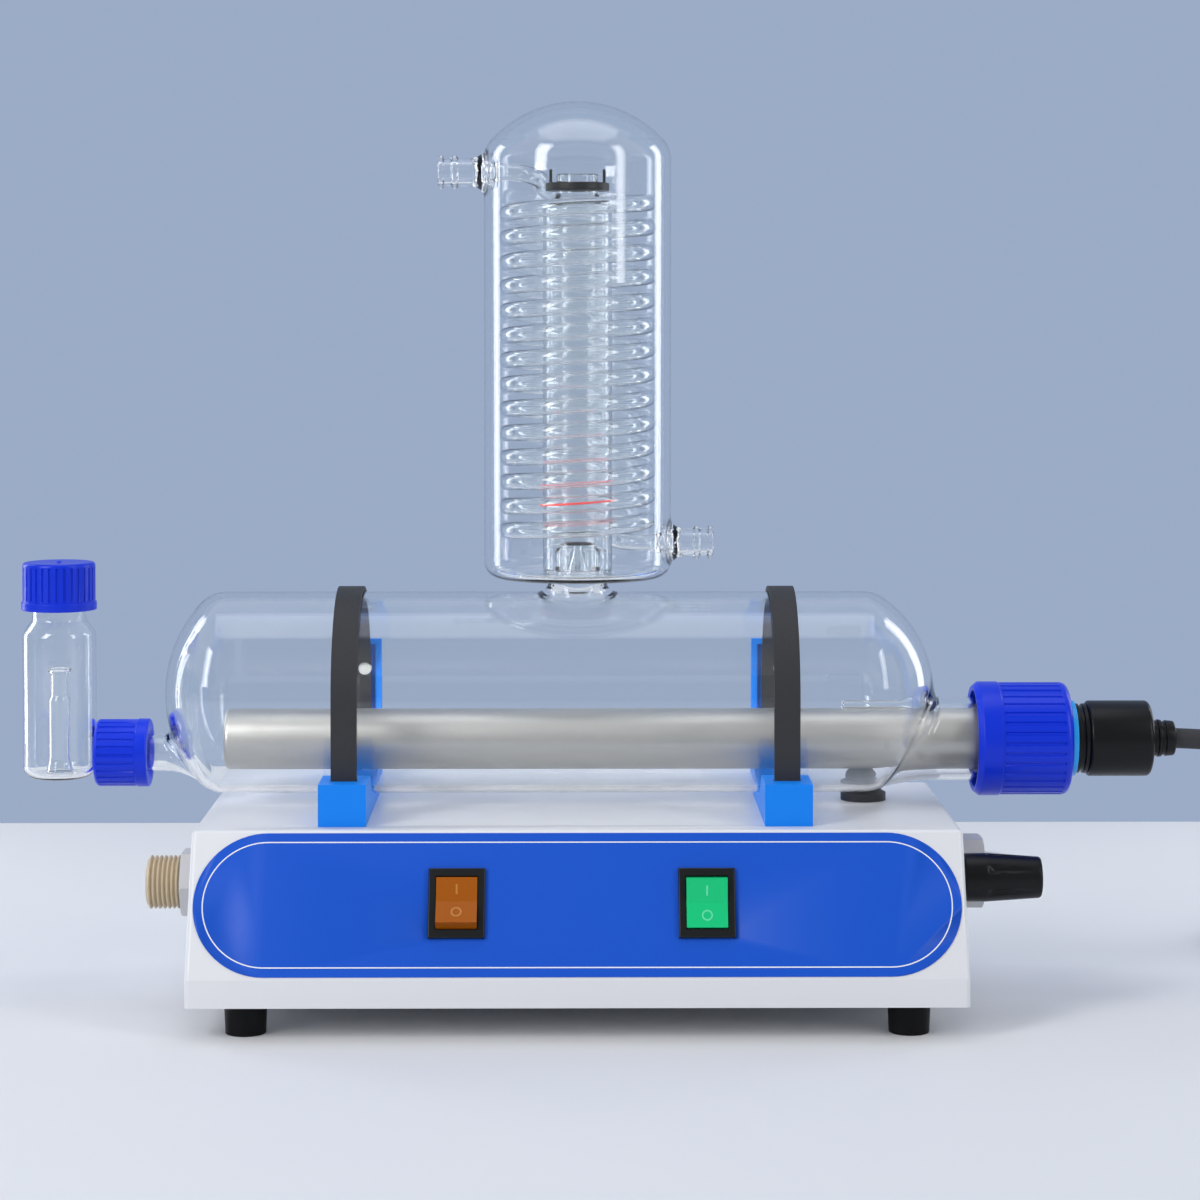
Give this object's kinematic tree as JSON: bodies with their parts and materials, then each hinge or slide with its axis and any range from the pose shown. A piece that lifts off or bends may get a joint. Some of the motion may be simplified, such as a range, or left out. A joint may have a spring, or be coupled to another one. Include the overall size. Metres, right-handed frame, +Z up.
{
  "type": "water distiller",
  "caption": "Bench-top glass water distiller: a horizontal glass boiler with an immersion heater, a level vial, a jacketed coil condenser and a base unit with switches.",
  "frame": {"origin": "middle of the bottom face of the object's box, without the heater's lead, on the bench", "axes": "+X along the boiler towards the heater, +Y to the back, +Z up"},
  "size_m": [0.7502, 0.2668, 0.4256],
  "materials": {
    "painted_white": "satin",
    "panel_blue": "gloss",
    "cap_blue": "gloss",
    "saddle_blue": "satin",
    "rubber_black": "matt",
    "plastic_black": "satin",
    "plastic_white": "satin",
    "rocker_amber": "gloss",
    "rocker_green": "gloss",
    "thread_tan": "satin",
    "hex_grey": "satin",
    "clear_glass": "clear",
    "steel": "brushed",
    "ring_cyan": "gloss",
    "silicone_red": "satin",
    "silicone_clear": "satin",
    "bobbin_ceramic": "matt",
    "lead_grey": "matt",
    "board_green": "satin",
    "brass_parts": "turned"
  },
  "bodies": {
    "base": {"base_housing": "painted_white", "base_plate": "painted_white", "front_panel_label": "panel_blue", "left_saddle": "saddle_blue", "right_saddle": "saddle_blue", "rubber_feet": "rubber_black", "left_strap": "rubber_black", "right_strap": "rubber_black", "thermostat_boot": "rubber_black", "strain_relief": "rubber_black", "centring_ring": "rubber_black", "heater_switch_bezel": "plastic_black", "mains_switch_bezel": "plastic_black", "terminal_cap": "plastic_black", "heater_flange": "plastic_black", "mains_inlet": "plastic_black", "heater_outlet": "plastic_black", "lead_plug": "plastic_black", "terminal_block": "plastic_black", "left_strap_peg": "plastic_white", "right_strap_peg": "plastic_white", "outlet_hose_tail": "plastic_white", "water_inlet_nipple": "thread_tan", "inlet_lock_nut": "hex_grey", "outlet_nut": "hex_grey", "boiler_vessel": "clear_glass", "condenser_jacket": "clear_glass", "condenser_coil": "clear_glass", "vapour_tube": "clear_glass", "vapour_riser": "clear_glass", "splash_cap": "clear_glass", "level_vial": "clear_glass", "vial_standpipe": "clear_glass", "heater_sheath": "steel", "thermostat_disc": "steel", "foot_screws": "steel", "saddle_screws": "steel", "flow_valve_nut": "steel", "heater_ring": "ring_cyan", "level_ring": "silicone_red", "heater_seal": "silicone_clear", "leveller_seal": "silicone_clear", "transfer_tube": "silicone_clear", "heater_core": "bobbin_ceramic", "heater_lead": "lead_grey", "control_board": "board_green", "solenoid_valve": "brass_parts", "flow_valve_body": "brass_parts", "board_standoffs": "brass_parts"},
    "heater_rocker": {"heater_switch_rocker": "rocker_amber"},
    "mains_rocker": {"mains_switch_rocker": "rocker_green"},
    "valve_knob": {"flow_valve_knob": "plastic_black", "flow_valve_spindle": "steel"},
    "vial_cap_seat": {"vial_cap_liner": "plastic_white"},
    "vial_cap_body": {"vial_cap": "cap_blue"},
    "heater_cap_seat": {"heater_washer": "plastic_white"},
    "heater_cap_body": {"heater_cap": "cap_blue"},
    "leveller_cap_seat": {"leveller_washer": "plastic_white"},
    "leveller_cap_body": {"leveller_cap": "cap_blue"}
  },
  "joints": [
    {"name": "heater_rocker_press", "type": "hinge", "parent": "base", "child": "heater_rocker", "pos_m": [-0.06475, -0.07199, 0.05904], "axis": [1, 0, 0], "range_deg": [0, 20]},
    {"name": "mains_rocker_press", "type": "hinge", "parent": "base", "child": "mains_rocker", "pos_m": [0.04805, -0.07199, 0.05904], "axis": [1, 0, 0], "range_deg": [-20, 0]},
    {"name": "valve_knob_turn", "type": "hinge", "parent": "base", "child": "valve_knob", "pos_m": [0.168, -0.03625, 0.064], "axis": [1, 0, 0], "range_deg": [0, 270]},
    {"name": "vial_cap_lift", "type": "slide", "parent": "base", "child": "vial_cap_seat", "axis": [0, 0, 1], "range_m": [0, 0.01]},
    {"name": "vial_cap_turn", "type": "hinge", "parent": "vial_cap_seat", "child": "vial_cap_body", "pos_m": [-0.25765, 0.01375, 0.19], "axis": [0, 0, 1], "range_deg": [0, 900]},
    {"name": "heater_cap_draw", "type": "slide", "parent": "base", "child": "heater_cap_seat", "axis": [1, 0, 0], "range_m": [0, 0.012]},
    {"name": "heater_cap_turn", "type": "hinge", "parent": "heater_cap_seat", "child": "heater_cap_body", "pos_m": [0.19, 0.01375, 0.1215], "axis": [1, 0, 0], "range_deg": [0, 1080]},
    {"name": "leveller_cap_draw", "type": "slide", "parent": "base", "child": "leveller_cap_seat", "axis": [1, 0, 0], "range_m": [0, 0.00375]},
    {"name": "leveller_cap_turn", "type": "hinge", "parent": "leveller_cap_seat", "child": "leveller_cap_body", "pos_m": [-0.225, 0.01375, 0.1151], "axis": [1, 0, 0], "range_deg": [0, 450]}
  ],
  "couplings": [
    {"joint": "vial_cap_lift", "follows": "vial_cap_turn", "m_per_rad": 0.00063662},
    {"joint": "heater_cap_draw", "follows": "heater_cap_turn", "m_per_rad": 0.00063662},
    {"joint": "leveller_cap_draw", "follows": "leveller_cap_turn", "m_per_rad": 0.00047746}
  ]
}
